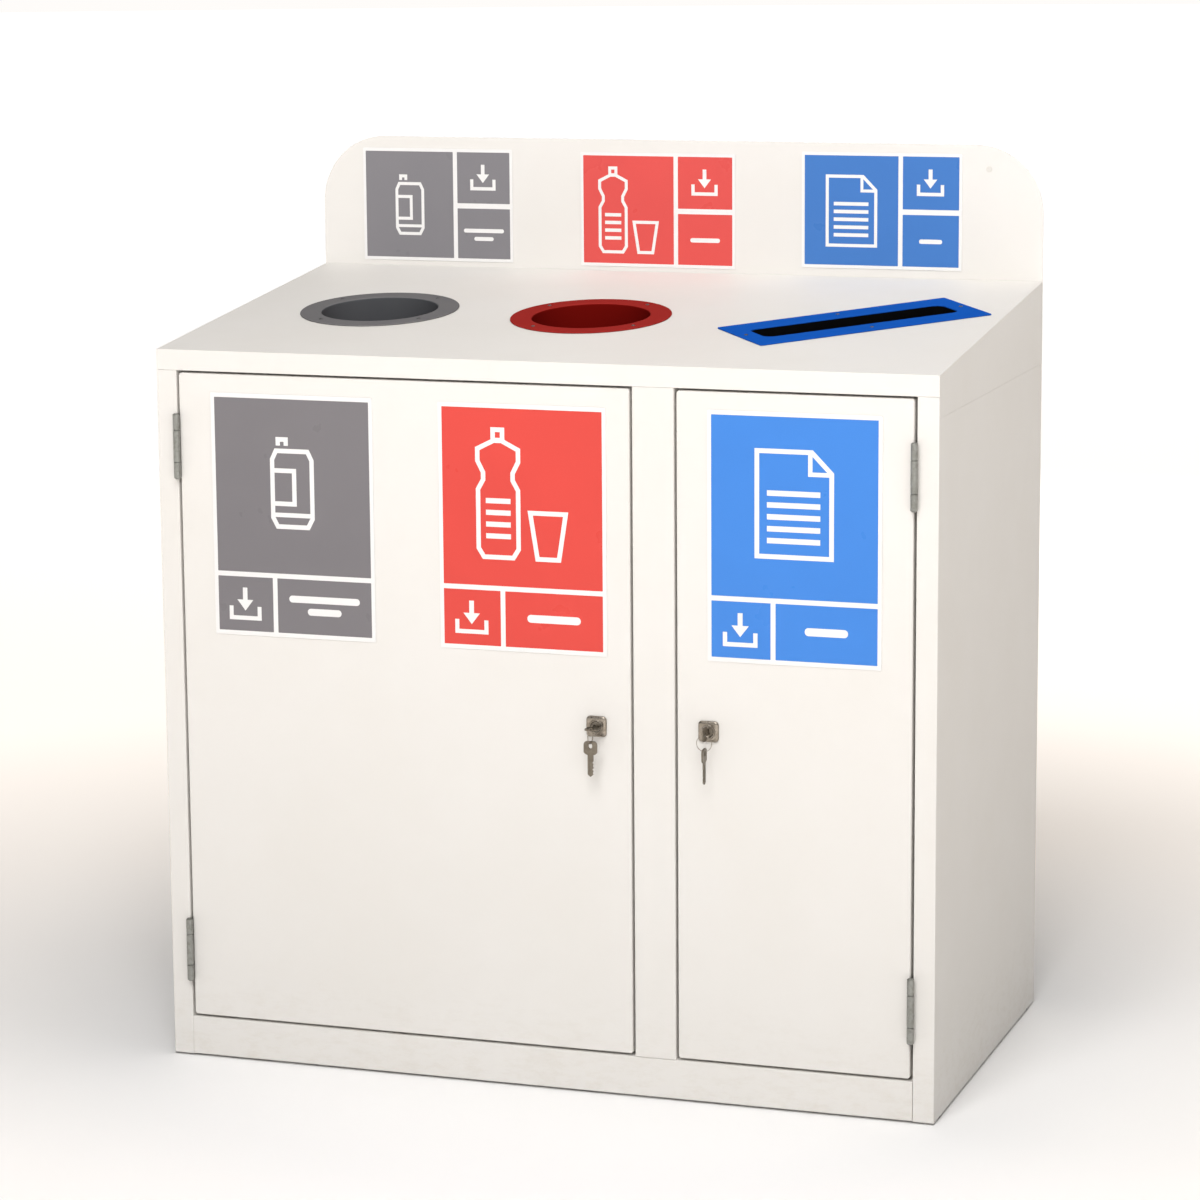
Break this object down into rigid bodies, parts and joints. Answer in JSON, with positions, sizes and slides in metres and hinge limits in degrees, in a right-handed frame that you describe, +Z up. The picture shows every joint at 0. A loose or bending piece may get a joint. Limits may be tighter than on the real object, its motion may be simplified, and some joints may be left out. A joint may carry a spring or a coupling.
{
  "type": "recycling bin station",
  "caption": "Sheet steel recycling cabinet with sloping lid openings, sign board, hinged locking doors and lift-out liners.",
  "frame": {"origin": "on the floor, under the middle of the whole object's box (the hanging keys count in that box)", "axes": "+Z up, -Y out of the front with the doors, +X to the right as seen from the front"},
  "size_m": [0.975, 0.5741, 1.111],
  "materials": {
    "white_powder_coat": "satin powder coat",
    "grey_enamel": "satin enamel",
    "red_enamel": "satin enamel",
    "blue_enamel": "satin enamel",
    "black_plastic": "matt",
    "sign_grey": "printed film on thin sheet",
    "sign_red": "printed film on thin sheet",
    "sign_blue": "printed film on thin sheet",
    "galvanised_steel": "spangled zinc coat",
    "zinc_plate": "bright zinc plate",
    "nickel_plate": "nickel plate",
    "nylon": "moulded"
  },
  "bodies": {
    "cabinet": {"back_panel": "white_powder_coat", "bay_divider": "white_powder_coat", "cans_aperture_ring": "grey_enamel", "cans_board_sign": "sign_grey", "cans_liner": "galvanised_steel", "centre_mullion": "white_powder_coat", "floor_panel": "white_powder_coat", "foot_front_left": "nylon", "foot_front_right": "nylon", "foot_rear_left": "nylon", "foot_rear_right": "nylon", "left_side_panel": "white_powder_coat", "paper_board_sign": "sign_blue", "paper_liner": "galvanised_steel", "paper_slot_chute": "black_plastic", "paper_slot_plate": "blue_enamel", "plastic_aperture_ring": "red_enamel", "plastic_board_sign": "sign_red", "plastic_liner": "galvanised_steel", "plinth_rail": "white_powder_coat", "right_side_panel": "white_powder_coat", "sign_board": "white_powder_coat", "top_hood": "white_powder_coat", "left_upper_frame_leaf": "zinc_plate", "left_upper_hinge_pin": "zinc_plate", "left_lower_frame_leaf": "zinc_plate", "left_lower_hinge_pin": "zinc_plate", "right_upper_frame_leaf": "zinc_plate", "right_upper_hinge_pin": "zinc_plate", "right_lower_frame_leaf": "zinc_plate", "right_lower_hinge_pin": "zinc_plate"},
    "left_door": {"left_upper_door_leaf": "zinc_plate", "left_lower_door_leaf": "zinc_plate", "left_door": "white_powder_coat", "left_door_stiffener": "white_powder_coat", "left_lock_housing": "nickel_plate", "left_lock_nut": "zinc_plate", "cans_door_sign": "sign_grey", "plastic_door_sign": "sign_red"},
    "right_door": {"right_upper_door_leaf": "zinc_plate", "right_lower_door_leaf": "zinc_plate", "right_door": "white_powder_coat", "right_door_stiffener": "white_powder_coat", "right_lock_housing": "nickel_plate", "right_lock_nut": "zinc_plate", "paper_door_sign": "sign_blue"},
    "left_lock": {"left_lock_plug": "nickel_plate", "left_lock_cam": "zinc_plate", "left_cam_screw": "zinc_plate", "left_key": "nickel_plate"},
    "right_lock": {"right_lock_plug": "nickel_plate", "right_lock_cam": "zinc_plate", "right_cam_screw": "zinc_plate", "right_key": "nickel_plate"},
    "left_key_ring": {"left_key_ring": "nickel_plate"},
    "right_key_ring": {"right_key_ring": "nickel_plate"},
    "left_spare_key": {"left_spare_key": "nickel_plate"},
    "right_spare_key": {"right_spare_key": "nickel_plate"}
  },
  "joints": [
    {"name": "left_door_hinge", "type": "hinge", "parent": "cabinet", "child": "left_door", "pos_m": [-0.46, -0.2594, 0.4545], "axis": [0, 0, -1], "range_deg": [0, 180]},
    {"name": "right_door_hinge", "type": "hinge", "parent": "cabinet", "child": "right_door", "pos_m": [0.46, -0.2594, 0.4545], "axis": [0, 0, 1], "range_deg": [0, 180]},
    {"name": "left_lock_turn", "type": "hinge", "parent": "left_door", "child": "left_lock", "pos_m": [0.0735, -0.2529, 0.4545], "axis": [0, -1, 0], "range_deg": [0, 90]},
    {"name": "right_lock_turn", "type": "hinge", "parent": "right_door", "child": "right_lock", "pos_m": [0.2125, -0.2529, 0.457], "axis": [0, 1, 0], "range_deg": [0, 90]},
    {"name": "left_ring_swing", "type": "hinge", "parent": "left_lock", "child": "left_key_ring", "pos_m": [0.0735, -0.2766, 0.4545], "axis": [-1, 0, 0], "range_deg": [-2, 60]},
    {"name": "right_ring_swing", "type": "hinge", "parent": "right_lock", "child": "right_key_ring", "pos_m": [0.2125, -0.2721, 0.45547], "axis": [-1, 0, 0], "range_deg": [-10, 60]},
    {"name": "left_spare_swing", "type": "hinge", "parent": "left_key_ring", "child": "left_spare_key", "pos_m": [0.0735, -0.2771, 0.43815], "axis": [0, 1, 0], "range_deg": [-35, 35]},
    {"name": "right_spare_swing", "type": "hinge", "parent": "right_key_ring", "child": "right_spare_key", "pos_m": [0.2125, -0.2721, 0.43677], "axis": [-1, 0, 0], "range_deg": [-8, 45]}
  ]
}
